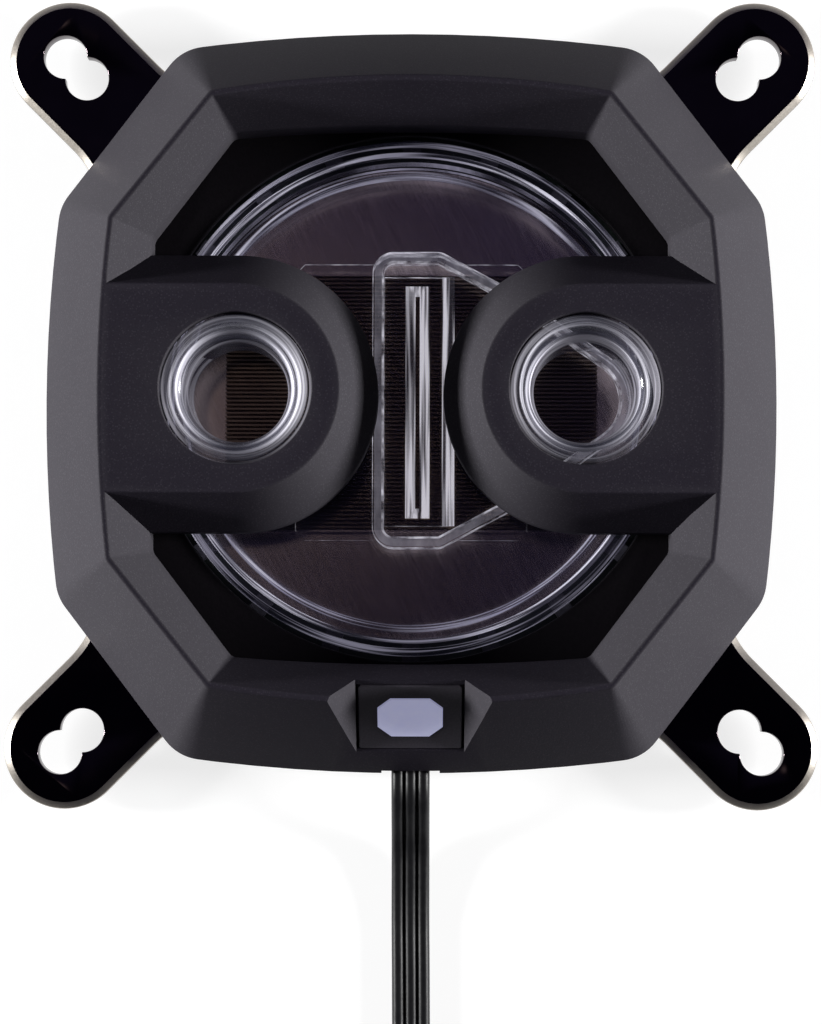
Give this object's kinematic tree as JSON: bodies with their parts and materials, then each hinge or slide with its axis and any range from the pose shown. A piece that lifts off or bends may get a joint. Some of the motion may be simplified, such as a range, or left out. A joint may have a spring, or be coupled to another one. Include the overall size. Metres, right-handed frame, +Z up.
{
  "type": "cpu water block",
  "caption": "Square CPU water block with a round clear window, faceted charcoal shroud, port arms and an eared mounting bracket, with a flat lighting cable.",
  "frame": {"origin": "middle of the cold plate's contact face, which is the block's lowest plane", "axes": "+Z up from the processor, +X towards the inlet port, -Y towards the badge and the cable"},
  "size_m": [0.0941, 0.1696, 0.024],
  "materials": {
    "cover_plastic": "fine moulded texture, matt charcoal",
    "deck_plastic": "satin near-black",
    "clear_acrylic": "clear, polished",
    "nickel_plate": "brushed nickel over copper",
    "black_nickel": "gloss black plate with a ground rim",
    "screw_steel": "plain steel",
    "seal_rubber": "matt black rubber",
    "board_laminate": "black solder mask",
    "light_body": "white light packages",
    "lens_diffuser": "pale lilac diffuser",
    "cable_jacket": "satin black jacket",
    "plug_plastic": "black moulded plastic"
  },
  "bodies": {
    "root": {"cold_plate": "nickel_plate", "cold_plate_seal": "seal_rubber", "mounting_bracket": "black_nickel", "flow_chamber": "clear_acrylic", "inlet_guide": "clear_acrylic", "light_board": "board_laminate", "window_bezel": "deck_plastic", "cover": "cover_plastic", "badge_panel": "cover_plastic", "badge_lens": "lens_diffuser", "board_socket": "plug_plastic", "cable_grommet": "seal_rubber", "rgb_cable": "cable_jacket", "rgb_cable_coil": "cable_jacket", "rgb_cable_tail": "cable_jacket", "cable_plug": "plug_plastic", "cable_tie": "plug_plastic", "light_01": "light_body", "light_02": "light_body", "light_03": "light_body", "light_04": "light_body", "light_05": "light_body", "light_06": "light_body", "light_07": "light_body", "light_08": "light_body", "light_09": "light_body", "light_10": "light_body", "light_11": "light_body", "light_12": "light_body", "light_13": "light_body", "light_14": "light_body", "light_15": "light_body", "light_16": "light_body", "cold_plate_screw_1": "screw_steel", "cold_plate_screw_2": "screw_steel", "cold_plate_screw_3": "screw_steel", "cold_plate_screw_4": "screw_steel", "cold_plate_screw_5": "screw_steel", "cold_plate_screw_6": "screw_steel", "cold_plate_screw_7": "screw_steel", "cold_plate_screw_8": "screw_steel", "cover_screw_1": "screw_steel", "cover_screw_2": "screw_steel", "cover_screw_3": "screw_steel", "cover_screw_4": "screw_steel"}
  },
  "joints": []
}
